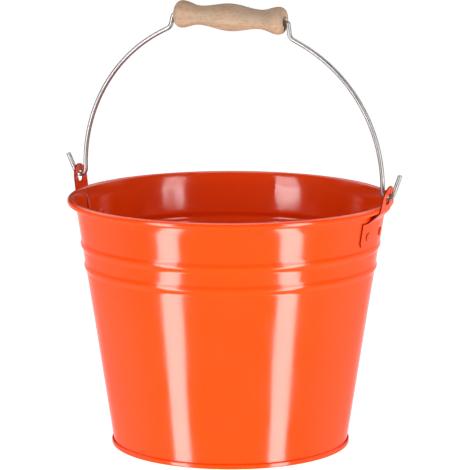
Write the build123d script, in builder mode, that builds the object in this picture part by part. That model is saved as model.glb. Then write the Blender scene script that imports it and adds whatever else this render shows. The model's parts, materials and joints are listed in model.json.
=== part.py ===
from build123d import *

import os
from math import atan2, cos, degrees, hypot, pi, radians, sin, sqrt, tan

# A steel pail with two riveted ears, a wire bail and a turned wooden grip, in millimetres.
# +Z is up, the pail's foot stands on Z = 0 and the pail's axis is on Z.
# The ears stand on +X and -X, so the bail swings about a line along X.
# Sheet pieces are drawn as the middle line of the sheet and given their thickness.

# ---- pail ----
sheet = 0.5  # thickness of the wall and the bottom
lap_gap = 0.05  # air between sheets that are pressed together
rim_radius = 100.8  # outside of the rolled rim
rim_height = 155.0  # top of the rolled rim
roll_diameter = 4.2
foot_radius = 72.55  # outside of the wall, carried down to the floor
wall_slope = 0.1525  # radius gained for each millimetre of height
flare_start = 149.0  # height where the wall turns out into the rolled rim
curl_end = -120  # angle at which the curled edge stops, round the roll's centre
bead_heights = (112.6, 126.3)
bead_width = 6.0
bead_depth = 0.95

# ---- folded seam at the foot, and the bottom ----
seam_radius = 74.15  # outside of the folded seam
seam_height = 2.95
seam_corner = 0.5  # radius of the seam's bends, at the middle of the sheet
hook_top = 2.0  # top of the wall's hem inside the seam
floor_height = 3.75  # middle of the bottom's sheet
floor_bend = 1.4
panel_radius = 50.0  # raised round panel pressed in the bottom
panel_rise = 1.25
panel_bend = 1.5

# ---- side seam, where the wall's two edges lock ----
side_seam_angle = 182.2  # round Z, in degrees
side_seam_width = 5.0
side_seam_depth = 0.8
side_seam_bottom = 6.0
side_seam_top = 148.0

# ---- ears ----
ear_sheet = 0.9
ear_lean = {"left": 6.5, "right": 11.5}  # degrees outwards from upright, above the rim
ear_joggle = 45  # degrees, the slope that carries the ear out from the wall to the rim
ear_foot = 131.0
ear_shoulder = 146.0
ear_slope_top = 148.7
ear_half_foot = 18.7
ear_half_shoulder = 12.4
ear_half_slope = 9.4
ear_corner = 4.0
loop_radius = 8.75  # half the width of the neck and the radius of the rounded top
loop_length = {"left": 16.8, "right": 15.2}  # from the rim to the crown of the loop
neck_foot = 151.2
hole_top = (1.9, 161.6)  # centre of each rounded upper corner of the hole, across and up
hole_foot = (1.1, 159.7)  # centre of each rounded lower corner
hole_corner = 2.2
hole_lift = {"left": 0.8, "right": -1.6}

# ---- rivets ----
rivet_height = 137.4
rivet_angle = 6.5  # each side of the ear's middle, round Z
rivet_shank = 2.5
rivet_hole = 2.6
rivet_head = 5.2
rivet_dome = 0.9
rivet_tail = 4.4

# ---- bail ----
wire_diameter = 2.8
hook_radius = 3.7  # to the middle of the wire
# the wire is bent by hand, so its two sides differ a little
pivot_height = {"left": 162.6, "right": 160.2}  # middle of the wire at the bottom of each hook
arm_offset = {"left": 98.2, "right": 99.2}  # sideways place of each upright arm
hook_lean = {"left": 24.5, "right": 19.5}  # degrees outwards, of each hook's free leg
hook_leg = {"left": 12.0, "right": 12.2}
arch_radius = 95.8
arch_height = {"left": 169.7, "right": 165.1}
arch_end = 27.0  # degrees from upright, where each arc stops
kink_offset = {"left": 39.8, "right": 38.9}  # sideways place of the shoulder under the grip
kink_radius = 4.5
entry_offset = 37.7  # sideways place where the wire turns into the grip
entry_radius = 2.4

# ---- grip ----
grip_height = 265.4
grip_tilt = 1.6  # degrees, its left end is the higher
grip_half_length = 35.8
grip_end_bulge = 31.9  # place of the widest part near each end
grip_waist = 20.0
grip_bulge_radius = 8.5
grip_waist_radius = 6.0
grip_steps = 12  # points along each half of the outline
grip_face_radius = 4.8
grip_bore = 5.8
grip_slot = 3.0

# ---- worked out from the above ----
wall_angle = atan2(wall_slope, 1.0)
half_sheet_out = sheet / 2 / cos(wall_angle)
roll_centre = (rim_radius - roll_diameter / 2, rim_height - roll_diameter / 2)
curl_radius = (roll_diameter - sheet) / 2
rim_wire_radius = curl_radius - sheet / 2 - lap_gap
sides = {"left": -1, "right": 1}  # the sign of X on each side


def wall_out(height):
    """Radius of the wall's outer face at a height."""
    return foot_radius + wall_slope * height


def wall_mid(height):
    """Point on the middle of the wall's sheet at a height."""
    return (wall_out(height) - half_sheet_out, height)


def tangent_angle(point, centre, radius):
    """Angle, round a circle's centre, where a line from a point below it touches its near side."""
    across, up = point[0] - centre[0], point[1] - centre[1]
    distance = hypot(across, up)
    return degrees(atan2(up, across)) % 360 - degrees(atan2(sqrt(distance**2 - radius**2), radius))


def on_circle(centre, radius, angle):
    """Point on a circle, at an angle in degrees from its own +X."""
    return (centre[0] + radius * cos(radians(angle)), centre[1] + radius * sin(radians(angle)))


def rivet_plane(side, turn):
    """Plane on the wall's outer face at a rivet, its normal pointing out of the wall."""
    azimuth = (0 if side == "right" else 180) + turn
    place = Vector(wall_out(rivet_height), 0, rivet_height).rotate(Axis.Z, azimuth)
    outward = Vector(cos(wall_angle), 0, -sin(wall_angle)).rotate(Axis.Z, azimuth)
    return Plane(origin=place, x_dir=Vector(0, 0, 1).cross(outward), z_dir=outward)


# Wall: a cone of sheet with two beads, a curled rim, a hem at the foot and a lock seam.
flare = wall_mid(flare_start)
curl_start = tangent_angle(flare, roll_centre, curl_radius)
hem_start = wall_mid(seam_corner + sheet * 1.5)
hook_mid = seam_radius - sheet * 1.5 - lap_gap
hem_radius = (hook_mid - hem_start[0]) / 2

with BuildPart() as pail_wall:
    with BuildSketch(Plane.XZ):
        with BuildLine() as wall_line:
            Line((hook_mid, hook_top), (hook_mid, hem_start[1]))
            ThreePointArc(
                (hook_mid, hem_start[1]),
                (hook_mid - hem_radius, hem_start[1] - hem_radius),
                hem_start,
            )
            place = hem_start
            for height in bead_heights:
                low, high = wall_mid(height - bead_width / 2), wall_mid(height + bead_width / 2)
                crest = wall_mid(height)
                Line(place, low)
                ThreePointArc(low, (crest[0] + bead_depth, crest[1]), high)
                place = high
            Line(place, flare)
            Line(flare, on_circle(roll_centre, curl_radius, curl_start))
            ThreePointArc(
                on_circle(roll_centre, curl_radius, curl_start),
                on_circle(roll_centre, curl_radius, (curl_start + curl_end) / 2),
                on_circle(roll_centre, curl_radius, curl_end),
            )
            offset(amount=sheet / 2)
        make_face()
    revolve(axis=Axis.Z)
    seam_foot = Vector(wall_mid(side_seam_bottom)[0] - half_sheet_out, 0, side_seam_bottom)
    seam_direction = Vector(wall_slope, 0, 1)
    with BuildSketch(
        Plane(
            origin=seam_foot.rotate(Axis.Z, side_seam_angle),
            x_dir=Vector(0, 1, 0).rotate(Axis.Z, side_seam_angle),
            z_dir=seam_direction.rotate(Axis.Z, side_seam_angle),
        )
    ):
        with Locations((0, (side_seam_depth - sheet / 2) / 2)):
            Rectangle(side_seam_width, side_seam_depth + sheet / 2)
    extrude(amount=(side_seam_top - side_seam_bottom) / cos(wall_angle))
    for side in sides:
        for turn in (-rivet_angle, rivet_angle):
            with BuildSketch(rivet_plane(side, turn)):
                Circle(rivet_hole / 2)
            extrude(amount=2 * ear_sheet, both=True, mode=Mode.SUBTRACT)

# Rim wire: the hard wire that the rim is curled round.
with BuildPart() as rim_wire:
    with BuildSketch(Plane.XZ):
        with Locations(roll_centre):
            Circle(rim_wire_radius)
    revolve(axis=Axis.Z)

# Bottom: a disc with a raised panel, whose edge is folded round the wall's hem.
inner_leaf = wall_mid(hem_start[1])[0] - sheet - 2 * lap_gap
outer_leaf = seam_radius - sheet / 2
fold_top = seam_height - sheet / 2
with BuildPart() as pail_bottom:
    with BuildSketch(Plane.XZ):
        with BuildLine():
            FilletPolyline(
                (-1, floor_height + panel_rise),
                (panel_radius, floor_height + panel_rise),
                (panel_radius + 2 * panel_rise, floor_height),
                (inner_leaf, floor_height),
                (inner_leaf, sheet / 2),
                (outer_leaf, sheet / 2),
                (outer_leaf, fold_top),
                (wall_out(seam_height) + sheet / 2 + lap_gap, fold_top),
                radius=[panel_bend, panel_bend, floor_bend, seam_corner, seam_corner, seam_corner],
            )
            offset(amount=sheet / 2)
        make_face()
        with Locations((seam_radius, seam_height)):
            Rectangle(2 * seam_radius, 4 * seam_height, mode=Mode.INTERSECT)
    revolve(axis=Axis.Z)


def stamped_ear(side):
    """One stamped ear, made on the +X side: a curved foot, a joggle and a loop with a hole."""
    lean = radians(ear_lean[side])
    slope = tan(radians(ear_joggle))
    wrap = roll_diameter / 2 + lap_gap + ear_sheet / 2
    foot = (wall_out(ear_foot) + (lap_gap + ear_sheet / 2) / cos(wall_angle), ear_foot)
    upper_touch = on_circle(roll_centre, wrap, -ear_lean[side])
    lower_touch = on_circle(roll_centre, wrap, -ear_joggle)
    # the joggle's straight slope runs down to the knee, where it meets the foot
    reach = lower_touch[0] - foot[0] - wall_slope * (lower_touch[1] - foot[1])
    drop = reach / (slope - wall_slope)
    knee = (lower_touch[0] - drop * slope, lower_touch[1] - drop)
    loop_top = upper_touch[1] + loop_length[side] * cos(lean)
    crown = (upper_touch[0] + loop_length[side] * sin(lean), loop_top)
    half_outline = [
        (ear_half_foot, ear_foot),
        (ear_half_foot, ear_shoulder),
        (ear_half_shoulder, ear_shoulder),
        (ear_half_slope, ear_slope_top),
        (loop_radius, neck_foot),
        (loop_radius, loop_top - loop_radius),
    ]
    loop_side = half_outline[-1]
    with BuildPart() as blank:
        with BuildSketch(Plane.XZ):
            with BuildLine():
                Line(foot, knee)
                Line(knee, lower_touch)
                middle = (ear_lean[side] + ear_joggle) / 2
                ThreePointArc(lower_touch, on_circle(roll_centre, wrap, -middle), upper_touch)
                Line(upper_touch, (crown[0] + sheet * tan(lean), crown[1] + sheet))
                offset(amount=ear_sheet / 2)
            make_face()
        revolve(axis=Axis.Z)
        # the outline that the blank is stamped to, as seen along X
        with BuildSketch(Plane.YZ) as outline:
            with BuildLine():
                Polyline((0, ear_foot), *half_outline)
                ThreePointArc(loop_side, (0, loop_top), (-loop_side[0], loop_side[1]))
                Polyline(*[(-across, up) for across, up in reversed(half_outline)], (0, ear_foot))
            make_face()
            lowest = outline.vertices().group_by(Axis.Z)[0].sort_by(Axis.Y)
            fillet([lowest[0], lowest[-1]], ear_corner)
        extrude(amount=2 * rim_radius, mode=Mode.INTERSECT)
        with BuildSketch(Plane.YZ):
            for across, up in (hole_top, hole_foot):
                with Locations((-across, up + hole_lift[side]), (across, up + hole_lift[side])):
                    Circle(hole_corner)
            make_hull()
        extrude(amount=2 * rim_radius, mode=Mode.SUBTRACT)
        for turn in (-rivet_angle, rivet_angle):
            with BuildSketch(rivet_plane("right", turn)):
                Circle(rivet_hole / 2)
            extrude(amount=2 * ear_sheet, both=True, mode=Mode.SUBTRACT)
    return blank.part


def rivet_pair(side):
    """Both rivets of one ear: a low domed head outside, a shank and a pressed tail inside."""
    head_seat = ear_sheet + 2 * lap_gap
    tail_seat = -sheet - 2 * lap_gap
    with BuildPart() as pair:
        for turn in (-rivet_angle, rivet_angle):
            base = rivet_plane(side, turn)
            with BuildSketch(Plane(origin=base.origin, x_dir=base.x_dir, z_dir=-base.y_dir)):
                with BuildLine():
                    head_edge, tail_edge = (rivet_head / 2, head_seat), (rivet_tail / 2, tail_seat)
                    TangentArc((0, head_seat + rivet_dome), head_edge, tangent=(1, 0))
                    TangentArc((0, tail_seat - rivet_dome), tail_edge, tangent=(1, 0))
                    Line((0, tail_seat - rivet_dome), (0, head_seat + rivet_dome))
                    Polyline(
                        head_edge, (rivet_shank / 2, head_seat), (rivet_shank / 2, tail_seat), tail_edge
                    )
                make_face()
            revolve(axis=Axis(base.origin, base.z_dir))
    return pair.part


# Bail: one wire with a hook at each end, an arch, and a shoulder at each end of the grip.
grip_line = Vector(cos(radians(grip_tilt)), 0, -sin(radians(grip_tilt)))


def bail_side(side):
    """Points of one side of the bail in X and Z: leg's tip, hook, arm, arch, shoulder, entry."""
    arm, end = arm_offset[side], radians(arch_end)
    hook = (arm + hook_radius, pivot_height[side] + hook_radius)
    leg = on_circle(hook, hook_radius, -hook_lean[side])
    tip = on_circle(leg, hook_leg[side], 90 - hook_lean[side])
    centre = (arm - arch_radius, arch_height[side])
    stop = on_circle(centre, arch_radius, 90 - arch_end)
    kink = (kink_offset[side], stop[1] + (stop[0] - kink_offset[side]) * tan(end))
    entry = (entry_offset, grip_height - sides[side] * entry_offset * tan(radians(grip_tilt)))
    middle = on_circle(centre, arch_radius, (90 - arch_end) / 2)
    points = {
        "tip": tip,
        "leg": leg,
        "bottom": (hook[0], pivot_height[side]),
        "arm": (arm, hook[1]),
        "arch": (arm, arch_height[side]),
        "middle": middle,
        "stop": stop,
        "kink": kink,
        "entry": entry,
    }
    return {name: (sides[side] * across, up) for name, (across, up) in points.items()}


left, right = bail_side("left"), bail_side("right")
with BuildPart() as bail_wire:
    with BuildLine(Plane.XZ) as bail_line:
        for bend in (left, right):
            Line(bend["tip"], bend["leg"])
            ThreePointArc(bend["leg"], bend["bottom"], bend["arm"])
            Line(bend["arm"], bend["arch"])
            ThreePointArc(bend["arch"], bend["middle"], bend["stop"])
        FilletPolyline(
            *[left[name] for name in ("stop", "kink", "entry")],
            *[right[name] for name in ("entry", "kink", "stop")],
            radius=[kink_radius, entry_radius, entry_radius, kink_radius],
        )
    bail_path = bail_line.wire()
    with BuildSketch(Plane(origin=bail_path @ 0, z_dir=bail_path % 0)):
        Circle(wire_diameter / 2)
    sweep(path=bail_path)


def grip_radius(place):
    """Radius of the grip, a cosine wave from the middle to each end's widest part."""
    away = abs(place)
    half_range = (grip_bulge_radius - grip_waist_radius) / 2
    if away < grip_waist:
        turn = pi * away / grip_waist
    else:
        turn = pi + pi * (away - grip_waist) / (grip_end_bulge - grip_waist)
    return grip_waist_radius + half_range * (1 + cos(turn))


# Grip: turned wood, with a bore for the wire and a saw slot that lets it be pressed on.
with BuildPart() as grip:
    grip_plane = Plane(origin=(0, 0, grip_height), x_dir=grip_line, z_dir=(0, -1, 0))
    with BuildSketch(grip_plane):
        with BuildLine():
            steps = range(-grip_steps, grip_steps + 1)
            stops = [grip_end_bulge * step / grip_steps for step in steps]
            Spline(
                *[(place, grip_radius(place)) for place in stops], tangents=[(1, 0), (1, 0)]
            )
            round_length = grip_half_length - grip_end_bulge
            round_depth = grip_bulge_radius - grip_face_radius
            for end, start in ((-1, 90), (1, 0)):
                centre = (end * grip_end_bulge, grip_face_radius)
                EllipticalCenterArc(centre, round_length, round_depth, start, arc_size=90)
                Line((end * grip_half_length, grip_face_radius), (end * grip_half_length, 0))
            Line((-grip_half_length, 0), (grip_half_length, 0))
        make_face()
    revolve(axis=Axis(grip_plane.origin, grip_line))
    with BuildSketch(Plane(origin=grip_plane.origin, x_dir=(0, 1, 0), z_dir=grip_line)):
        Circle(grip_bore / 2)
        with Locations((0, -grip_bulge_radius)):
            Rectangle(grip_slot, 2 * grip_bulge_radius)
    extrude(amount=2 * grip_half_length, both=True, mode=Mode.SUBTRACT)


with BuildPart() as ear_right:
    add(stamped_ear("right"))

with BuildPart() as ear_left:
    add(stamped_ear("left"), rotation=(0, 0, 180))

with BuildPart() as rivets_right:
    add(rivet_pair("right"))

with BuildPart() as rivets_left:
    add(rivet_pair("left"))

pieces = {
    "pail_wall": pail_wall,
    "rim_wire": rim_wire,
    "pail_bottom": pail_bottom,
    "ear_right": ear_right,
    "ear_left": ear_left,
    "rivets_right": rivets_right,
    "rivets_left": rivets_left,
    "bail_wire": bail_wire,
    "grip": grip,
}

os.makedirs("parts", exist_ok=True)
for node, piece in pieces.items():
    piece.part.label = node
    export_step(piece.part, f"parts/{node}.step")
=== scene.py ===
import json
import bmesh
import bpy
import numpy as np
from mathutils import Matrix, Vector


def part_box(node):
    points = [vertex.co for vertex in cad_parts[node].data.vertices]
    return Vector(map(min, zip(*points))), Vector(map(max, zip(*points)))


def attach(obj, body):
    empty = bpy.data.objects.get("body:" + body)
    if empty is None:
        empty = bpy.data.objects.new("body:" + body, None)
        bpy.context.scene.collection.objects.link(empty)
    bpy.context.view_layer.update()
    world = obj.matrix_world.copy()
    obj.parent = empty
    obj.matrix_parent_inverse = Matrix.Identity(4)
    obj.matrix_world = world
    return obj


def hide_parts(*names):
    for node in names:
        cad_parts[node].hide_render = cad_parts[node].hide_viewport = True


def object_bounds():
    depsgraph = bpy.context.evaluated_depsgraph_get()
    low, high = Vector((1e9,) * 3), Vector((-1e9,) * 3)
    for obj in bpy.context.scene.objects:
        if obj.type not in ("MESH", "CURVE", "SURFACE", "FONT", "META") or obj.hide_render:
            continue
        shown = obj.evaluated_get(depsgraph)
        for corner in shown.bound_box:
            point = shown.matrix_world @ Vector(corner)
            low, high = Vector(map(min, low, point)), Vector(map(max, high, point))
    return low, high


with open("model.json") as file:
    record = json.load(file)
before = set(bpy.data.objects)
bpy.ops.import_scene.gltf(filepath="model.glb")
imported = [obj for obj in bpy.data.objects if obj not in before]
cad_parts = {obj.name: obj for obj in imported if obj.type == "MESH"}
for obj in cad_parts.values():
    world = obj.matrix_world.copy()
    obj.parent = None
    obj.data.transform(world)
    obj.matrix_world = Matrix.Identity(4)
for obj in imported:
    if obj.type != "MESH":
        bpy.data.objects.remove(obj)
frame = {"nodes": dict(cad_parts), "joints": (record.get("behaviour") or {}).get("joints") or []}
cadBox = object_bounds()
nodes = frame["nodes"]
joints = {joint["name"]: joint for joint in frame["joints"]}
mm = 0.001  # shapes are worked out in millimetres and turned into metres when a mesh is made
leftAndRight = {"left": -1, "right": 1}

shot = {
    "azimuth": 22.0,  # degrees round the pail, where 0 looks along +Y
    "elevation": 10.18,
    "distance": 1.8214,
    "aim": (0.0026, 0.0011, 0.1303),
    "lens": 225.4,
}


def direction(azimuth, elevation=0.0):
    # unit vector from the pail towards someone who stands at that azimuth and elevation
    a, e = np.radians(azimuth), np.radians(elevation)
    return Vector((np.sin(a) * np.cos(e), -np.cos(a) * np.cos(e), np.sin(e)))


camera = bpy.data.objects.new("camera", bpy.data.cameras.new("camera"))
bpy.context.scene.collection.objects.link(camera)
bpy.context.scene.camera = camera
towardsCamera = direction(shot["azimuth"], shot["elevation"])
camera.location = Vector(shot["aim"]) + towardsCamera * shot["distance"]
camera.rotation_euler = (-towardsCamera).to_track_quat("-Z", "Y").to_euler()
camera.data.lens = shot["lens"]
print("camera placed")


# Lines and surfaces

def arc(centre, radius, start, end, count):
    # centre + radius * (cos, sin) of an angle that runs from start to end, in degrees
    turn = np.radians(np.linspace(start, end, count))
    return np.array(centre) + radius * np.column_stack([np.cos(turn), np.sin(turn)])


def run(start, end, step):
    # straight line as points no further apart than step
    start, end = np.array(start, float), np.array(end, float)
    count = max(2, int(np.ceil(np.linalg.norm(end - start) / step)) + 1)
    return start + np.linspace(0, 1, count)[:, None] * (end - start)


def roundedPath(corners, radii, step, perBend=10):
    # straight runs joined by tangent arcs: each arc goes from a to b round its centre,
    # (sin((1-t) w) a + sin(t w) b) / sin w, where w is the turn at that corner
    corners = [np.array(corner, float) for corner in corners]
    pieces, last = [], corners[0]
    for before, corner, after, radius in zip(corners, corners[1:], corners[2:], radii):
        back = (before - corner) / np.linalg.norm(before - corner)
        ahead = (after - corner) / np.linalg.norm(after - corner)
        turn = np.pi - np.arccos(np.clip(back @ ahead, -1, 1))
        reach = radius * np.tan(turn / 2)
        middle = (back + ahead) / np.linalg.norm(back + ahead)
        centre = corner + middle * radius / np.cos(turn / 2)
        a, b = corner + back * reach - centre, corner + ahead * reach - centre
        t = np.linspace(0, 1, perBend)[:, None]
        bend = centre + (np.sin((1 - t) * turn) * a + np.sin(t * turn) * b) / np.sin(turn)
        pieces += [run(last, bend[0], step)[:-1], bend[:-1]]
        last = bend[-1]
    return np.vstack(pieces + [run(last, corners[-1], step)])


def tangents(line):
    # unit direction at each point, halfway between the runs before and after it
    runs = np.diff(line, axis=0)
    runs /= np.linalg.norm(runs, axis=1)[:, None]
    joined = np.vstack([runs[:1], runs[:-1] + runs[1:], runs[-1:]])
    return joined / np.linalg.norm(joined, axis=1)[:, None]


def thicken(line, thickness, roundStart=True, roundEnd=True):
    # closed outline of a sheet whose middle is line: line + and - its normal * half the thickness,
    # with a half circle at each end that is free; also says which side each point is on
    along = tangents(line)
    normal = np.column_stack([-along[:, 1], along[:, 0]])
    half = thickness / 2
    turn = np.linspace(0, np.pi, 7)[1:-1, None]
    endCap = line[-1] + half * (np.cos(turn) * normal[-1] + np.sin(turn) * along[-1])
    startCap = line[0] + half * (-np.cos(turn) * normal[0] - np.sin(turn) * along[0])
    parts = [line + half * normal, endCap[: len(endCap) * roundEnd]]
    parts += [(line - half * normal)[::-1], startCap[: len(startCap) * roundStart]]
    side = np.concatenate([np.full(len(part), value) for part, value in zip(parts, (1, 0, -1, 0))])
    return np.vstack(parts), side


def turned(profile, angles):
    # (radius cos angle, radius sin angle, height) for each profile point and each angle in radians
    radius, height = profile[:, :1], profile[:, 1:]
    rows = [radius * np.cos(angles), radius * np.sin(angles), height + 0 * angles]
    return np.stack(rows, axis=-1)


def surfaces(name, patches, body, material, replaces=None, attributes=None):
    # patches are (points, wrapRows, wrapColumns); points[i, j] is a place in millimetres.
    # neighbours in i and j are joined by quads, and points at the same place are merged
    places, quads, first = [], [], 0
    for points, wrapRows, wrapColumns in patches:
        rows, columns = points.shape[:2]
        i, j = np.indices((rows - 1 + wrapRows, columns - 1 + wrapColumns)).reshape(2, -1)
        nextI, nextJ = (i + 1) % rows, (j + 1) % columns
        corners = [i * columns + j, nextI * columns + j, nextI * columns + nextJ, i * columns + nextJ]
        quads.append(first + np.stack(corners, axis=1))
        places.append(points.reshape(-1, 3) * mm)
        first += rows * columns
    mesh = bpy.data.meshes.new(name)
    mesh.from_pydata(np.vstack(places), [], np.vstack(quads).tolist())
    for label, values in (attributes or {}).items():
        values = np.asarray(values, np.float32)
        kind, field = ("FLOAT_VECTOR", "vector") if values.shape[-1] == 3 else ("FLOAT", "value")
        mesh.attributes.new(label, kind, "POINT").data.foreach_set(field, values.ravel())
    shape = bmesh.new()
    shape.from_mesh(mesh)
    bmesh.ops.remove_doubles(shape, verts=shape.verts, dist=1e-7)
    bmesh.ops.recalc_face_normals(shape, faces=shape.faces)
    shape.to_mesh(mesh)
    shape.free()
    mesh.shade_smooth()
    mesh.materials.append(material)
    piece = bpy.data.objects.new(name, mesh)
    bpy.context.scene.collection.objects.link(piece)
    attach(piece, body)
    if replaces:
        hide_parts(replaces)
    print("made", name)
    return piece


def softEdges(piece, width, segments=3, angle=50):
    # rounds the edges that are sharper than angle
    bevel = piece.modifiers.new("softEdges", "BEVEL")
    bevel.width, bevel.segments = width * mm, segments
    bevel.limit_method, bevel.angle_limit = "ANGLE", np.radians(angle)
    bevel.harden_normals = True


# Shader building blocks

def put(tree, kind, settings=None, **inputs):
    # adds a node; an input is linked if its value is a socket and set if it is not
    made = tree.nodes.new("ShaderNode" + kind)
    for key, value in (settings or {}).items():
        setattr(made, key, value)
    for key, value in inputs.items():
        key = key.replace("_", " ")
        socket = made.inputs[int(key[1:])] if key[0] == "i" and key[1:].isdigit() else made.inputs[key]
        if isinstance(value, bpy.types.NodeSocket):
            tree.links.new(value, socket)
        else:
            socket.default_value = value
    return made


def mix(tree, factor, a, b):
    return put(tree, "Mix", {"data_type": "RGBA"}, i0=factor, i6=a, i7=b).outputs[2]


def calculate(tree, operation, a, b=0.0):
    return put(tree, "Math", {"operation": operation}, i0=a, i1=b).outputs[0]


def newGroup(name, inputs, outputs):
    # a shader node group; inputs are (name, kind, default) and outputs are (name, kind)
    group = bpy.data.node_groups.new(name, "ShaderNodeTree")
    for label, kind, default in inputs:
        socket = group.interface.new_socket(label, in_out="INPUT", socket_type="NodeSocket" + kind)
        if default is not None:
            socket.default_value = default
    for label, kind in outputs:
        group.interface.new_socket(label, in_out="OUTPUT", socket_type="NodeSocket" + kind)
    return group, group.nodes.new("NodeGroupInput").outputs, group.nodes.new("NodeGroupOutput").inputs


def useGroup(tree, group, **inputs):
    made = put(tree, "Group", {"node_tree": group}, **inputs)
    return made.outputs[0]


def mottleGroup():
    # slow change from Low to High over the surface, made with noise
    wanted = [("Vector", "Vector", None), ("Scale", "Float", 20.0)]
    wanted += [("Low", "Float", 0.0), ("High", "Float", 1.0)]
    group, given, result = newGroup("mottle", wanted, [("Value", "Float")])
    noise = put(group, "TexNoise", Vector=given["Vector"], Scale=given["Scale"], Detail=3.0)
    spread = put(
        group, "MapRange", Value=noise.outputs["Fac"], From_Min=0.3, From_Max=0.7,
        To_Min=given["Low"], To_Max=given["High"],
    )
    group.links.new(spread.outputs[0], result["Value"])
    return group


def fleckGroup():
    # small separate spots: 1 where noise is over a threshold that Share lowers, 0 elsewhere
    wanted = [("Vector", "Vector", None), ("Scale", "Float", 500.0), ("Share", "Float", 0.2)]
    group, given, result = newGroup("flecks", wanted, [("Mask", "Float")])
    noise = put(group, "TexNoise", Vector=given["Vector"], Scale=given["Scale"], Detail=1.0)
    threshold = calculate(group, "SUBTRACT", 0.8, given["Share"])
    over = calculate(group, "SUBTRACT", noise.outputs["Fac"], threshold)
    spread = put(group, "MapRange", Value=over, From_Min=0.0, From_Max=0.06)
    group.links.new(spread.outputs[0], result["Mask"])
    return group


def skinGroup():
    # fine unevenness of a surface: noise of a given Scale, Depth metres high, as a normal
    wanted = [("Vector", "Vector", None), ("Scale", "Float", 400.0), ("Depth", "Float", 1e-5)]
    group, given, result = newGroup("skin", wanted, [("Normal", "Vector")])
    noise = put(group, "TexNoise", Vector=given["Vector"], Scale=given["Scale"], Detail=2.0)
    bump = put(group, "Bump", Height=noise.outputs["Fac"], Distance=given["Depth"], Strength=1.0)
    group.links.new(bump.outputs["Normal"], result["Normal"])
    return group


mottle, flecks, skin = mottleGroup(), fleckGroup(), skinGroup()


def newMaterial(name, **constants):
    # a material with its Principled shader; constants are set on the shader's own sockets
    material = bpy.data.materials.new(name)
    material.use_nodes = True
    shader = material.node_tree.nodes["Principled BSDF"]
    for key, value in constants.items():
        shader.inputs[key.replace("_", " ")].default_value = value
    return material, material.node_tree, shader


def feed(tree, shader, **sockets):
    for key, socket in sockets.items():
        tree.links.new(socket, shader.inputs[key.replace("_", " ")])


paint = {
    "colour": (0.96, 0.064, 0.0030, 1),
    "deeper": (0.93, 0.057, 0.0024, 1),
    "edge": (0.20, 0.010, 0.002, 1),  # painted shade along the sheet's cut edges, in the side seam's cleft and round the rivet heads, where shadow gaps fall
    "dust": (0.86, 0.30, 0.16, 1),
    "dustShare": 0.06,
    "gloss": (0.115, 0.16),  # lowest and highest roughness
    "peelSize": 420,  # waves to a metre
    "peelDepth": 4e-6,
}


def paintMaterial():
    # stoved gloss enamel: a slow change of depth, a little dust under the gloss, orange peel, and painted
    # shade along edges and in creases
    material, tree, shader = newMaterial("paint", IOR=1.6)
    place = put(tree, "TexCoord").outputs["Object"]
    depth = useGroup(tree, mottle, Vector=place, Scale=14.0, Low=0.0, High=1.0)
    colour = mix(tree, depth, paint["colour"], paint["deeper"])
    # painted shade: where the edge attribute is 1 the colour goes to the dark edge colour and the gloss
    # dulls, standing in for shadow in gaps and crevices
    edge = put(tree, "Attribute", {"attribute_name": "edge"}).outputs["Fac"]
    colour = mix(tree, edge, colour, paint["edge"])
    dust = useGroup(tree, flecks, Vector=place, Scale=900.0, Share=paint["dustShare"])
    gloss = useGroup(tree, mottle, Vector=place, Scale=55.0, Low=paint["gloss"][0], High=paint["gloss"][1])
    feed(
        tree, shader,
        Base_Color=mix(tree, calculate(tree, "MULTIPLY", dust, 0.35), colour, paint["dust"]),
        Roughness=calculate(tree, "ADD", gloss, calculate(tree, "MULTIPLY", edge, 0.4)),
        Specular_IOR_Level=calculate(tree, "SUBTRACT", 0.5, calculate(tree, "MULTIPLY", edge, 0.4)),
        Normal=useGroup(tree, skin, Vector=place, Scale=paint["peelSize"], Depth=paint["peelDepth"]),
    )
    return material


zinc = {
    "colour": (0.52, 0.51, 0.50, 1),
    "dull": (0.38, 0.375, 0.37, 1),
    "gloss": (0.40, 0.52),
    "streakSize": 1800.0,  # waves to a metre across the wire
    "stretch": 0.05,  # share of that along the wire
    "pitSize": 2200.0,
    "pitShare": 0.2,
    "skinDepth": 6e-6,
}


def zincMaterial(name, ownPlace=None):
    # drawn and galvanised wire: streaks along it, dull patches, fine pits.
    # wirePlace is the wire unrolled to a straight bar, so the streaks follow its bends
    material, tree, shader = newMaterial(name, Metallic=1.0)
    if ownPlace:
        place = put(tree, "Attribute", {"attribute_name": ownPlace}).outputs["Vector"]
    else:
        place = put(tree, "TexCoord").outputs["Object"]
    along = put(tree, "Mapping", Vector=place, Scale=(zinc["stretch"], 1.0, 1.0)).outputs[0]
    streak = useGroup(tree, mottle, Vector=along, Scale=zinc["streakSize"], Low=0.0, High=1.0)
    gloss = useGroup(tree, mottle, Vector=along, Scale=900.0, Low=zinc["gloss"][0], High=zinc["gloss"][1])
    dull = useGroup(tree, mottle, Vector=place, Scale=160.0, Low=0.0, High=0.7)
    worn = calculate(tree, "MULTIPLY", streak, dull)
    pits = useGroup(tree, flecks, Vector=place, Scale=zinc["pitSize"], Share=zinc["pitShare"])
    colour = mix(tree, worn, zinc["colour"], zinc["dull"])
    feed(
        tree, shader,
        Base_Color=mix(tree, calculate(tree, "MULTIPLY", pits, 0.4), colour, zinc["dull"]),
        Roughness=gloss,
        Normal=useGroup(tree, skin, Vector=along, Scale=1500.0, Depth=zinc["skinDepth"]),
    )
    return material


beech = {
    "pale": (0.47, 0.33, 0.21, 1),
    "tan": (0.34, 0.21, 0.115, 1),
    "pink": (0.46, 0.275, 0.185, 1),
    "fleck": (0.24, 0.13, 0.07, 1),
    "grey": (0.30, 0.235, 0.17, 1),
    "bandSize": 260.0,  # waves to a metre across the grip
    "stretch": 0.12,  # share of that along the grip
    "patchSize": 75.0,
    "raySize": 1000.0,
    "rayStretch": 0.28,
    "rayShare": 0.24,
    "rayDepth": 0.36,  # how far a ray goes towards the fleck's colour
    "gloss": (0.5, 0.68),
    "skinDepth": 1.2e-4,
}


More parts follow.
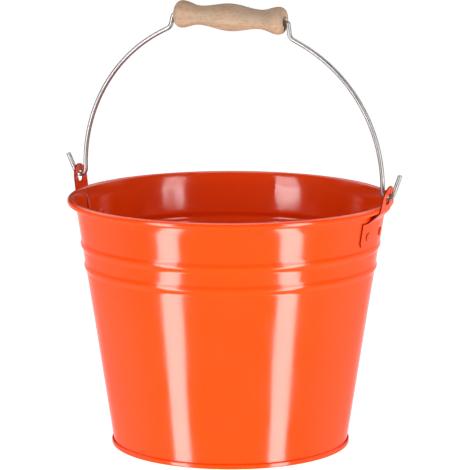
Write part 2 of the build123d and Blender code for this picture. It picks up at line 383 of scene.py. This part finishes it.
def beechMaterial(centre, tilt):
    # turned beech: bands of growth along the grip, pink patches, short dark rays and fine pores
    material, tree, shader = newMaterial("beech", IOR=1.45)
    place = put(tree, "TexCoord").outputs["Object"]
    own = put(
        tree, "Mapping", {"vector_type": "TEXTURE"}, Vector=place, Location=centre, Rotation=(0, tilt, 0),
    ).outputs[0]
    stretched = put(tree, "Mapping", Vector=own, Scale=(beech["stretch"], 1.0, 1.0)).outputs[0]
    bands = useGroup(tree, mottle, Vector=stretched, Scale=beech["bandSize"], Low=0.0, High=1.0)
    colour = mix(tree, bands, beech["pale"], beech["tan"])
    patches = useGroup(tree, mottle, Vector=own, Scale=beech["patchSize"], Low=0.0, High=0.75)
    colour = mix(tree, patches, colour, beech["pink"])
    greyed = useGroup(tree, mottle, Vector=stretched, Scale=95.0, Low=-0.3, High=0.65)
    colour = mix(tree, greyed, colour, beech["grey"])
    rayPlace = put(tree, "Mapping", Vector=own, Scale=(beech["rayStretch"], 1.0, 1.0)).outputs[0]
    rays = useGroup(tree, flecks, Vector=rayPlace, Scale=beech["raySize"], Share=beech["rayShare"])
    colour = mix(tree, calculate(tree, "MULTIPLY", rays, beech["rayDepth"]), colour, beech["fleck"])
    feed(
        tree, shader,
        Base_Color=colour,
        Roughness=useGroup(
            tree, mottle, Vector=own, Scale=200.0, Low=beech["gloss"][0], High=beech["gloss"][1]
        ),
        Normal=useGroup(tree, skin, Vector=stretched, Scale=1400.0, Depth=beech["skinDepth"]),
    )
    return material


paintFinish = paintMaterial()
zincFinish = zincMaterial("zinc", "wirePlace")
hardWireFinish = zincMaterial("hardWire")
print("materials made")


# Pail

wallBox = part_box("pail_wall")
wall = {
    "sheet": 0.5,
    "slope": 0.1525,  # radius gained for each millimetre of height
    "footRadius": 72.55,  # outside of the wall, carried down to the floor
    "rimRadius": wallBox[1].x / mm,
    "rimHeight": wallBox[1].z / mm,
    "rollDiameter": 4.2,
    "flareStart": 149.0,
    "curlEnd": -120,
    "beads": (112.6, 126.3),
    "beadWidth": 7.0,
    "beadDepth": 0.95,
    "around": 352,  # faces round the pail
    "waviness": 0.09,  # millimetres that the sheet is out of round, as rolled sheet is
}
seam = {"radius": 74.15, "height": 2.95, "corner": 0.5, "hookTop": 2.0, "gap": 0.05}
sideSeam = {
    "angle": 182.2,  # round the pail from +X
    "width": 5.0,
    "depth": 0.8,  # how far it stands in
    "bottom": 6.0,
    "top": 151.5,
    "crease": 0.16,  # depth
    "cleft": 0.2,  # depth
    # shares of the width: the step's slope, the cleft's slopes and far edge, half the crease
    "step": 0.06,
    "cleftStart": 0.03,
    "cleftEnd": 0.1,
    "cleftReach": 0.8,
    "creaseHalf": 0.08,
}
dent = {"angle": 94.5, "height": 144.5, "size": 3.2, "depth": 0.8}  # a knock in the back of the wall
floorPan = {"height": 3.75, "bend": 1.4, "panelRadius": 50.0, "panelRise": 1.25, "panelBend": 1.5}

wallAngle = np.arctan(wall["slope"])
rollCentre = np.array([wall["rimRadius"], wall["rimHeight"]]) - wall["rollDiameter"] / 2
curlRadius = (wall["rollDiameter"] - wall["sheet"]) / 2


def wallOut(height):
    # radius of the wall's outer face at a height
    return wall["footRadius"] + wall["slope"] * height


def wallMiddle(height):
    # points on the middle of the wall's sheet, without its beads
    height = np.asarray(height, float)
    return np.stack([wallOut(height) - wall["sheet"] / 2 / np.cos(wallAngle), height], axis=-1)


def beadRise(height):
    # each bead is a rounded hump: depth * cos^2 of a quarter turn either side of its crest
    away = np.abs(np.subtract.outer(height, wall["beads"])) / (wall["beadWidth"] / 2)
    return wall["beadDepth"] * (np.cos(np.pi / 2 * np.clip(away, 0, 1)) ** 2).sum(axis=1)


def makeWall():
    # middle of the sheet: the hem at the foot, the cone with its beads, and the curl at the rim
    hookMiddle = seam["radius"] - 1.5 * wall["sheet"] - seam["gap"]
    hemStart = wallMiddle(seam["corner"] + 1.5 * wall["sheet"])
    hemRadius = (hookMiddle - hemStart[0]) / 2
    hem = arc((hookMiddle - hemRadius, hemStart[1]), hemRadius, 0, -180, 9)
    beadHeights = [np.linspace(-0.5, 0.5, 21) * wall["beadWidth"] + crest for crest in wall["beads"]]
    plainHeights = np.linspace(hemStart[1] + 0.5, wall["flareStart"], 44)
    nearBead = np.abs(np.subtract.outer(plainHeights, wall["beads"])).min(axis=1) < wall["beadWidth"] / 2
    heights = np.unique(np.concatenate([plainHeights[~nearBead], *beadHeights]))
    cone = wallMiddle(heights)
    cone[:, 0] += beadRise(heights)
    across = cone[-1] - rollCentre
    touch = np.degrees(np.arctan2(across[1], across[0])) % 360
    touch -= np.degrees(np.arccos(curlRadius / np.linalg.norm(across)))
    curl = arc(rollCentre, curlRadius, touch, wall["curlEnd"], 30)
    line = np.vstack([[(hookMiddle, seam["hookTop"])], hem, cone, curl])
    outline, side = thicken(line, wall["sheet"])
    # more faces where the side seam steps in and out, at these widths from its middle
    seamAngle = np.radians(sideSeam["angle"])
    steps = np.array([
        -1.3, -0.6, -0.53, -0.47, -0.4, -0.2, 0, 0.2, 0.4, 0.47, 0.5, 0.53, 0.6, 0.7, 0.8, 1.3,
    ])
    seamTurn = sideSeam["width"] / wallOut(sideSeam["top"])
    seamTurns = seamAngle + steps * seamTurn
    evenTurns = np.arange(wall["around"]) / wall["around"] * 2 * np.pi
    clear = (evenTurns < seamTurns[0]) | (evenTurns > seamTurns[-1])
    angles = np.sort(np.concatenate([evenTurns[clear], seamTurns]))
    points = turned(outline, angles)
    radius, height = np.hypot(points[..., 0], points[..., 1]), points[..., 2]
    # the seam stands in by its depth on the inside, with an open cleft along one side,
    # and leaves a crease on the outside; fromSeam is counted in widths of the seam
    fromSeam = (angles - seamAngle) / seamTurn
    inSeam = (height > sideSeam["bottom"]) & (height < sideSeam["top"]) & (radius < rollCentre[0])
    standsIn = np.clip((0.5 + sideSeam["step"] / 2 - np.abs(fromSeam)) / sideSeam["step"], 0, 1)
    standsIn = standsIn * sideSeam["depth"]
    opening = (fromSeam - 0.5) / sideSeam["cleftStart"]
    closing = (sideSeam["cleftReach"] - fromSeam) / sideSeam["cleftEnd"]
    cleft = np.clip(np.minimum(opening, closing), 0, 1) * inSeam
    standsIn = standsIn - cleft * sideSeam["cleft"]
    crease = np.clip(1 - np.abs(fromSeam + 0.5) / sideSeam["creaseHalf"], 0, 1) * sideSeam["crease"]
    inward = np.where(side[:, None] > 0, standsIn, np.where(side[:, None] < 0, crease, 0))
    # long shallow waves, none at the foot and the rim
    footTop = 6.0
    plain = np.clip((height - footTop) / (wall["flareStart"] - footTop), 0, 1)
    share = np.sin(np.pi * plain) ** 0.5
    waves = np.sin(3 * angles + 0.6) + 0.5 * np.sin(7 * angles + height / 24)
    waves = waves + 0.3 * np.sin(13 * angles - height / 15)
    # a knock is a round hollow, depth * e^(-distance^2 / size^2)
    aside = radius * np.sin(angles - np.radians(dent["angle"]))
    knock = np.exp(-(aside**2 + (height - dent["height"]) ** 2) / dent["size"] ** 2)
    knock = knock * (np.cos(angles - np.radians(dent["angle"])) > 0) * dent["depth"]
    change = wall["waviness"] * share * waves - inSeam * inward + knock
    points[..., :2] *= (1 + change / radius)[..., None]
    # painted shade in the side seam's cleft, on the inner face only
    paintedShadeMask = (cleft * (side[:, None] > 0)).ravel()[:, None]
    return surfaces(
        "wall", [(points, True, True)], "pail", paintFinish, "pail_wall", {"edge": paintedShadeMask}
    )


def makeBottom():
    # middle of the sheet: the raised panel, the flat, and the edge folded round the wall's hem
    hemStart = wallMiddle(seam["corner"] + 1.5 * wall["sheet"])
    innerLeaf = hemStart[0] - wall["sheet"] - 2 * seam["gap"]
    outerLeaf = seam["radius"] - wall["sheet"] / 2
    foldTop = seam["height"] - wall["sheet"] / 2
    panelTop = floorPan["height"] + floorPan["panelRise"]
    line = roundedPath(
        [
            (0, panelTop),
            (floorPan["panelRadius"], panelTop),
            (floorPan["panelRadius"] + 2 * floorPan["panelRise"], floorPan["height"]),
            (innerLeaf, floorPan["height"]),
            (innerLeaf, wall["sheet"] / 2),
            (outerLeaf, wall["sheet"] / 2),
            (outerLeaf, foldTop),
            (wallOut(seam["height"]) + wall["sheet"] / 2 + seam["gap"], foldTop),
        ],
        [floorPan["panelBend"]] * 2 + [floorPan["bend"]] + [seam["corner"]] * 3,
        step=4,
        perBend=7,
    )
    outline, side = thicken(line, wall["sheet"], roundStart=False)
    outline[side == 0, 0] = np.maximum(outline[side == 0, 0], wallOut(seam["height"]))
    angles = np.arange(wall["around"]) / wall["around"] * 2 * np.pi
    return surfaces(
        "bottom", [(turned(outline, angles), False, True)], "pail", paintFinish, "pail_bottom"
    )


makeWall()
makeBottom()
nodes["rim_wire"].data.materials.clear()
nodes["rim_wire"].data.materials.append(hardWireFinish)


# Ears and rivets

ear = {
    "sheet": 0.9,
    "lean": {"left": 6.5, "right": 11.5},  # degrees outwards above the rim
    "joggle": 45,
    "foot": 131.0,
    "shoulder": 146.0,
    "slopeTop": 148.7,
    "neckFoot": 151.2,
    "halfFoot": 18.7,
    "halfShoulder": 12.4,
    "halfSlope": 9.4,
    "corner": 4.0,
    "loopRadius": 8.75,
    "loopLength": {"left": 16.8, "right": 15.2},
    "holeCentres": ((1.9, 161.6), (-1.9, 161.6), (-1.1, 159.7), (1.1, 159.7)),
    "holeLift": {"left": 0.8, "right": -1.6},
    "holeCorner": 2.2,
    "edge": 0.16,
    "kneeBend": 1.2,
}
rivet = {
    "height": 137.4,
    "turn": 6.5,  # degrees each side of the ear's middle
    "shank": 2.5,
    "head": 5.2,
    "tail": 4.4,
    "dome": 0.85,
    "rise": 0.4,  # of the head's upright edge
    "around": 40,
}


def earProfile(side):
    # middle of the ear's sheet from its foot to its crown, as radius and height
    lean = np.radians(ear["lean"][side])
    wrap = wall["rollDiameter"] / 2 + seam["gap"] + ear["sheet"] / 2
    footRadius = wallOut(ear["foot"]) + (seam["gap"] + ear["sheet"] / 2) / np.cos(wallAngle)
    rollTurn = arc(rollCentre, wrap, -ear["joggle"], -ear["lean"][side], 9)
    low, high = rollTurn[0], rollTurn[-1]
    reach = low[0] - footRadius - wall["slope"] * (low[1] - ear["foot"])
    drop = reach / (np.tan(np.radians(ear["joggle"])) - wall["slope"])
    knee = low - drop * np.array([1, np.tan(np.radians(ear["joggle"]))])
    crown = high + ear["loopLength"][side] * np.array([np.sin(lean), np.cos(lean)])
    lower = roundedPath([(footRadius, ear["foot"]), knee, low], [ear["kneeBend"]], step=1.5, perBend=7)
    return np.vstack([lower, rollTurn[1:], crown, crown + (crown - high) * 0.1]), crown[1]


def holeRadius(turn, centres, middle):
    # distance from middle to the hole's outline, which is the hull of its corner circles
    facing = np.linspace(-np.pi, np.pi, 721)
    outward = np.column_stack([np.cos(facing), np.sin(facing)])
    corners = centres[(outward @ centres.T).argmax(axis=1)] + ear["holeCorner"] * outward
    share = np.linspace(0, 1, 12, endpoint=False)[:, None, None]
    dense = ((1 - share) * corners[:-1] + share * corners[1:]).transpose(1, 0, 2).reshape(-1, 2) - middle
    around = np.arctan2(dense[:, 1], dense[:, 0])
    return np.interp(turn, around, np.hypot(dense[:, 0], dense[:, 1]), period=2 * np.pi)


def makeEar(side):
    # the flat outline (y across, z up) in three patches: a ring round the hole, the neck and the foot.
    # each point then goes to (sqrt(radius^2 - y^2), y, z), where radius is the profile's at that z
    profile, crown = earProfile(side)
    columns = 24
    loopTop = crown - ear["loopRadius"]
    across = np.concatenate([[-1], np.linspace(-0.975, 0.975, columns - 1), [1]])
    neckLine = np.column_stack([across * ear["loopRadius"], np.full(columns + 1, ear["neckFoot"])])
    rightSide = run(neckLine[-1], (ear["loopRadius"], loopTop), 1.1)[1:]
    top = arc((0, loopTop), ear["loopRadius"], 0, 180, 29)[1:]
    leftSide = run((-ear["loopRadius"], loopTop), neckLine[0], 1.1)[1:-1]
    outer = np.vstack([neckLine, rightSide, top, leftSide])
    centres = np.array(ear["holeCentres"]) + (0, ear["holeLift"][side])
    middle = centres.mean(axis=0)
    turn = np.arctan2(outer[:, 1] - middle[1], outer[:, 0] - middle[0])
    outward = np.column_stack([np.cos(turn), np.sin(turn)])
    inner = middle + holeRadius(turn, centres, middle)[:, None] * outward
    share = np.array([0, 0.05, 0.15, 0.3, 0.5, 0.7, 0.85, 0.96, 1])[:, None, None]
    ring = (1 - share) * inner + share * outer
    neckHeights = np.linspace(ear["shoulder"], ear["neckFoot"], 15)
    neckHalf = np.interp(
        neckHeights,
        (ear["shoulder"], ear["slopeTop"], ear["neckFoot"]),
        (ear["halfShoulder"], ear["halfSlope"], ear["loopRadius"]),
    )
    neck = np.stack([neckHalf[:, None] * across, neckHeights[:, None] + 0 * across], axis=-1)
    cornerTurn = np.radians(np.linspace(90, 12, 6))
    cornerHeights = ear["foot"] + ear["corner"] * (1 - np.sin(cornerTurn))
    cornerTop = ear["foot"] + ear["corner"]
    footHeights = np.concatenate([cornerHeights, np.linspace(cornerTop, ear["shoulder"], 13)])
    cornerShare = np.clip((cornerTop - footHeights) / ear["corner"], 0, 1)
    inset = ear["corner"] * (1 - np.sqrt(1 - cornerShare**2))
    wing = np.append(np.linspace(ear["halfShoulder"], ear["halfFoot"] - 0.3, 6)[1:], ear["halfFoot"])
    footAcross = np.concatenate([-wing[::-1], across * ear["halfShoulder"], wing])
    narrowed = footAcross * (1 - inset[:, None] / ear["halfFoot"])
    foot = np.stack([narrowed, footHeights[:, None] + 0 * footAcross], axis=-1)
    # painted shade along the ear's cut edges, at the hole, the loop, the neck and the foot, where the gap
    # under the plate is dark
    ringShadeMask, neckShadeMask, footShadeMask = [np.zeros(flat.shape[:2]) for flat in (ring, neck, foot)]
    ringShadeMask[0] = ringShadeMask[-1, columns + 1:] = 1
    neckShadeMask[:, [0, -1]] = footShadeMask[:, [0, -1]] = footShadeMask[0] = 1
    footShadeMask[-1, : len(wing)] = footShadeMask[-1, -len(wing):] = 1
    paintedShadeMask = np.concatenate([mask.ravel() for mask in (ringShadeMask, neckShadeMask, footShadeMask)])[:, None]
    patches = []
    for flat, wrapped in ((ring, True), (neck, False), (foot, False)):
        radius = np.interp(flat[..., 1], profile[:, 1], profile[:, 0])
        out = np.sqrt(radius**2 - flat[..., 0] ** 2)
        placed = np.stack([leftAndRight[side] * out, flat[..., 0], flat[..., 1]], axis=-1)
        patches.append((placed, False, wrapped))
    name = "ear" + side.capitalize()
    piece = surfaces(name, patches, "pail", paintFinish, "ear_" + side, {"edge": paintedShadeMask})
    solidify = piece.modifiers.new("sheet", "SOLIDIFY")
    solidify.thickness, solidify.offset = ear["sheet"] * mm, 0
    solidify.use_even_offset = True
    softEdges(piece, ear["edge"])
    return piece


def makeRivets(side):
    # profile round the rivet's own axis: a pressed tail, the shank and a low domed head
    headSeat, tailSeat = ear["sheet"] + 2 * seam["gap"], -wall["sheet"] - 2 * seam["gap"]
    t = np.linspace(0, 1, 9)
    tail = np.column_stack([t * rivet["tail"] / 2, tailSeat - rivet["dome"] * (1 - t**2) ** 0.8])
    t = t[::-1]
    headTop = headSeat + rivet["rise"]
    head = np.column_stack([t * rivet["head"] / 2, headTop + (rivet["dome"] - rivet["rise"]) * (1 - t**4)])
    under = [(rivet["shank"] / 2, tailSeat), (rivet["shank"] / 2, headSeat), (rivet["head"] / 2, headSeat)]
    profile = np.vstack([tail, under, head])
    turns = np.arange(rivet["around"]) / rivet["around"] * 2 * np.pi
    own = turned(profile, turns)
    patches = []
    for turn in (-rivet["turn"], rivet["turn"]):
        angle = np.radians((0 if side == "right" else 180) + turn)
        sideways = np.array([-np.sin(angle), np.cos(angle), 0])
        level = np.array([np.cos(angle), np.sin(angle), 0])
        outward = np.cos(wallAngle) * level - (0, 0, np.sin(wallAngle))
        seat = level * wallOut(rivet["height"]) + (0, 0, rivet["height"])
        basis = np.stack([sideways, np.cross(outward, sideways), outward])
        patches.append((seat + own @ basis, False, True))
    # painted shade round the upright edge of each rivet head
    paintedShadeMask = np.zeros((2, *own.shape[:2]))
    paintedShadeMask[:, len(tail) + 2 : len(tail) + 4] = 1
    paintedShadeMask = paintedShadeMask.reshape(-1, 1)
    name = "rivets" + side.capitalize()
    piece = surfaces(name, patches, "pail", paintFinish, "rivets_" + side, {"edge": paintedShadeMask})
    piece.data.set_sharp_from_angle(angle=np.radians(50))
    return piece


for side in leftAndRight:
    makeEar(side)
    makeRivets(side)


# Bail

gripCentre = np.array(joints["grip_spin"]["pos_m"]) / mm
gripLine = np.array(joints["grip_spin"]["axis"])
bail = {
    "wire": 2.8,
    "hookRadius": 3.7,
    "arm": {"left": 98.2, "right": 99.2},
    "hookFoot": {"left": 162.6, "right": 160.2},  # middle of the wire at the bottom of each hook
    "lean": {"left": 24.5, "right": 19.5},  # degrees outwards, of each hook's free leg
    "leg": {"left": 12.0, "right": 12.2},
    "archRadius": 95.8,
    "archHeight": {"left": 169.7, "right": 165.1},
    "archEnd": 27.0,
    "kink": {"left": 39.8, "right": 38.9},
    "kinkRadius": 4.5,
    "entry": 37.7,
    "entryRadius": 2.4,
    "chamfer": 0.25,
    "around": 28,
}


def bailHalf(side):
    # hook, arm and arch of one side, drawn on the right: leg's tip to the arch's end, then two corners
    hook = np.array([bail["arm"][side] + bail["hookRadius"], bail["hookFoot"][side] + bail["hookRadius"]])
    lean = bail["lean"][side]
    bend = arc(hook, bail["hookRadius"], -lean, -180, 24)
    tip = bend[0] + bail["leg"][side] * np.array([np.sin(np.radians(lean)), np.cos(np.radians(lean))])
    centre = (bail["arm"][side] - bail["archRadius"], bail["archHeight"][side])
    arch = arc(centre, bail["archRadius"], 0, 90 - bail["archEnd"], 90)
    kinkRise = (arch[-1, 0] - bail["kink"][side]) * np.tan(np.radians(bail["archEnd"]))
    kink = (bail["kink"][side], arch[-1, 1] + kinkRise)
    entryHeight = gripCentre[2] + leftAndRight[side] * bail["entry"] * gripLine[2] / gripLine[0]
    line = np.vstack([run(tip, bend[0], 0.8)[:-1], bend, run(bend[-1], arch[0], 1.0)[1:-1], arch])
    return line, kink, (bail["entry"], entryHeight)


def makeBail():
    # a circle carried along the bent line in the plane y = 0:
    # place = line + radius * (cos turn * normal + sin turn * y), each end chamfered and closed
    mirror = np.array([-1, 1])
    left, leftKink, leftEntry = bailHalf("left")
    right, rightKink, rightEntry = bailHalf("right")
    top = roundedPath(
        [left[-1] * mirror, leftKink * mirror, leftEntry * mirror, rightEntry, rightKink, right[-1]],
        [bail["kinkRadius"], bail["entryRadius"], bail["entryRadius"], bail["kinkRadius"]],
        step=1.5,
        perBend=12,
    )
    line = np.vstack([left * mirror, top[1:-1], right[::-1]])
    along = tangents(line)
    radius, chamfer = bail["wire"] / 2, bail["chamfer"]
    startRows = np.vstack([line[0], line[0], line[0] + chamfer * along[0]])
    endRows = np.vstack([line[-1] - chamfer * along[-1], line[-1], line[-1]])
    rows = np.vstack([startRows, line[1:-1], endRows])
    along = np.vstack([along[[0, 0, 0]], along[1:-1], along[[-1, -1, -1]]])
    radii = np.full(len(rows), radius)
    radii[[0, -1]], radii[[1, -2]] = 0, radius - chamfer
    turn = np.arange(bail["around"]) / bail["around"] * 2 * np.pi
    inPlane = radii[:, None] * np.cos(turn)
    sideways = radii[:, None] * np.sin(turn)
    x = rows[:, :1] - inPlane * along[:, 1:]
    z = rows[:, 1:] + inPlane * along[:, :1]
    length = np.concatenate([[0], np.cumsum(np.linalg.norm(np.diff(rows, axis=0), axis=1))])
    straight = np.stack([length[:, None] + 0 * turn, inPlane, sideways], axis=-1) * mm
    return surfaces(
        "bail", [(np.stack([x, sideways, z], axis=-1), False, True)], "bail", zincFinish,
        "bail_wire", {"wirePlace": straight.reshape(-1, 3)},
    )


makeBail()


# Grip

grip = {
    "halfLength": 35.8,
    "endBulge": 31.9,
    "waist": 20.0,
    "bulgeRadius": 8.5,
    "waistRadius": 6.0,
    "faceRadius": 4.8,
    "bore": 5.8,
    "mouth": 7.4,  # the bore opens out to this at each end
    "mouthDepth": 1.6,
    "slot": 3.0,
    "edge": 0.3,
    "around": 84,
}


def gripOutline():
    # radius along the grip: a cosine wave from the middle to each end's widest part, then a quarter ellipse
    place = np.linspace(0, grip["endBulge"], 42)
    beyond = (place - grip["waist"]) / (grip["endBulge"] - grip["waist"])
    turn = np.where(place < grip["waist"], np.pi * place / grip["waist"], np.pi * (1 + beyond))
    radius = grip["waistRadius"] + (grip["bulgeRadius"] - grip["waistRadius"]) / 2 * (1 + np.cos(turn))
    quarter = np.linspace(0, np.pi / 2, 11)[1:]
    endPlace = grip["endBulge"] + (grip["halfLength"] - grip["endBulge"]) * np.sin(quarter)
    endRadius = grip["faceRadius"] + (grip["bulgeRadius"] - grip["faceRadius"]) * np.cos(quarter)
    place, radius = np.concatenate([place, endPlace]), np.concatenate([radius, endRadius])
    return np.concatenate([-place[:0:-1], place]), np.concatenate([radius[:0:-1], radius])


def makeGrip():
    # place(along, turn, depth): a circle whose radius goes from the outline to the bore as depth goes
    # from 0 to 1, open by the slot's width below the axis
    along, outer = gripOutline()
    depth = np.linspace(0, 1, 6)
    share = np.linspace(0, 1, grip["around"] + 1)
    fromEnd = grip["halfLength"] - np.abs(along)
    opened = np.clip(1 - fromEnd / grip["mouthDepth"], 0, 1) ** 2
    bore = (grip["bore"] + (grip["mouth"] - grip["bore"]) * opened) / 2
    radius = outer[:, None, None] + (bore - outer)[:, None, None] * depth
    opening = np.arcsin(grip["slot"] / 2 / radius)
    turn = -np.pi / 2 + opening + (2 * np.pi - 2 * opening) * share[None, :, None]
    up = np.cross(gripLine, (0, 1, 0))
    solid = gripCentre + along[:, None, None, None] * gripLine
    solid = solid + (radius * np.cos(turn))[..., None] * np.array([0, 1.0, 0])
    solid = solid + (radius * np.sin(turn))[..., None] * up
    faces = [solid[:, :, 0], solid[:, :, -1], solid[:, 0], solid[:, -1], solid[0], solid[-1]]
    finish = beechMaterial(tuple(gripCentre * mm), np.arcsin(-gripLine[2]))
    piece = surfaces("grip_wood", [(face, False, False) for face in faces], "grip", finish, "grip")
    softEdges(piece, grip["edge"])
    return piece


makeGrip()


# Stage

stage = {
    "half": 12.0,  # metres from the middle of the floor to its edge
    "glow": 0.95,
    "light": (0.60, 0.60, 0.60, 1),
    "dark": (0.58, 0.58, 0.58, 1),
}


def makeFloor():
    # plain matt floor, a little uneven in tone
    material, tree, shader = newMaterial(
        "floor", Roughness=0.9, Emission_Color=(1, 1, 1, 1), Emission_Strength=stage["glow"]
    )
    place = put(tree, "TexCoord").outputs["Object"]
    tone = useGroup(tree, mottle, Vector=place, Scale=2.0, Low=0.0, High=1.0)
    feed(tree, shader, Base_Color=mix(tree, tone, stage["light"], stage["dark"]))
    half = stage["half"]
    corners = [(-half, -half, 0), (half, -half, 0), (half, half, 0), (-half, half, 0)]
    mesh = bpy.data.meshes.new("floor")
    mesh.from_pydata(corners, [], [(0, 1, 2, 3)])
    mesh.materials.append(material)
    floor = bpy.data.objects.new("floor", mesh)
    floor.location.z = cadBox[0].z - 0.0001
    bpy.context.scene.collection.objects.link(floor)
    floor.visible_glossy = False  # the soft boxes reach below the floor, and the gloss shows them whole
    floor.visible_shadow = False


softBoxes = [
    # azimuth from the camera, height of the middle, distance, width, height, radiance
    (-48.1, -0.5, 1.25, 0.38, 1.5, 8.4),
    (47.0, -0.5, 1.25, 0.38, 1.5, 8.4),
    (-48.1, 0.6, 1.25, 0.38, 0.7, 5.5),
    (47.0, 0.6, 1.25, 0.38, 0.7, 5.5),
]


skyBox = {"height": 1.3, "size": 0.7, "radiance": 2.0}  # soft light straight above


def makeBox(name, radiance, width, height, place, facing=None):
    # a rectangular light that gives radiance from its front: power = radiance * pi * area
    light = bpy.data.lights.new(name, "AREA")
    light.shape, light.size, light.size_y = "RECTANGLE", width, height
    light.energy = radiance * np.pi * width * height
    box = bpy.data.objects.new(name, light)
    box.location = place
    if facing is not None:
        box.rotation_euler = facing.to_track_quat("Z", "Y").to_euler()
    box.visible_camera = False
    bpy.context.scene.collection.objects.link(box)


def makeLights():
    for number, (azimuth, middle, distance, width, height, radiance) in enumerate(softBoxes):
        away = direction(shot["azimuth"] + azimuth)
        place = Vector((0, 0, 0.1 + middle)) + away * distance
        makeBox(f"softBox{number}", radiance, width, height, place, away)
    makeBox("skyBox", skyBox["radiance"], skyBox["size"], skyBox["size"], (0, 0, skyBox["height"]))


room = {
    "fill": 0.08,  # even light on matt surfaces
    "dark": 0.03,  # what gloss shows on the side where the camera stands
    "pale": 0.33,  # what gloss shows behind the pail
    "backdrop": 0.35,  # what it shows on top of that straight behind
    "ceiling": 1.6,  # what gloss shows above and behind the pail
}


def makeRoom():
    # white all round; the gloss sees a dark room near the camera and a pale one behind the pail
    world = bpy.data.worlds.new("room")
    world.use_nodes = True
    bpy.context.scene.world = world
    tree = world.node_tree
    way = put(tree, "TexCoord").outputs["Generated"]
    away = put(tree, "VectorMath", {"operation": "DOT_PRODUCT"}, i0=way, i1=-direction(shot["azimuth"]))
    away = away.outputs["Value"]
    behind = put(
        tree, "MapRange", {"interpolation_type": "SMOOTHSTEP"}, Value=away,
        From_Min=-0.55, From_Max=0.25, To_Min=0.0, To_Max=room["pale"],
    ).outputs[0]
    height = put(tree, "SeparateXYZ", Vector=way).outputs["Z"]
    low = put(tree, "MapRange", Value=height, From_Min=0.15, From_Max=-0.05).outputs[0]
    high = put(tree, "MapRange", Value=height, From_Min=0.3, From_Max=0.5, To_Max=room["ceiling"])
    beyond = put(tree, "MapRange", Value=away, From_Min=0.0, From_Max=0.4).outputs[0]
    backdrop = put(
        tree, "MapRange", Value=away, From_Min=0.82, From_Max=0.97, To_Max=room["backdrop"]
    ).outputs[0]
    pale = calculate(tree, "MULTIPLY", calculate(tree, "ADD", behind, backdrop), low)
    gloss = calculate(tree, "ADD", pale, room["dark"])
    gloss = calculate(tree, "ADD", calculate(tree, "MULTIPLY", high.outputs[0], beyond), gloss)
    ray = put(tree, "LightPath").outputs
    seen = put(tree, "Mix", i0=ray["Is Glossy Ray"], i2=room["fill"], i3=gloss).outputs[0]
    seen = put(tree, "Mix", i0=ray["Is Camera Ray"], i2=seen, i3=1.0).outputs[0]
    tree.links.new(seen, tree.nodes["Background"].inputs["Strength"])
    tree.nodes["Background"].inputs["Color"].default_value = (1, 1, 1, 1)


makeFloor()
makeLights()
makeRoom()
bpy.context.scene.view_settings.view_transform = "Standard"
print("stage made")
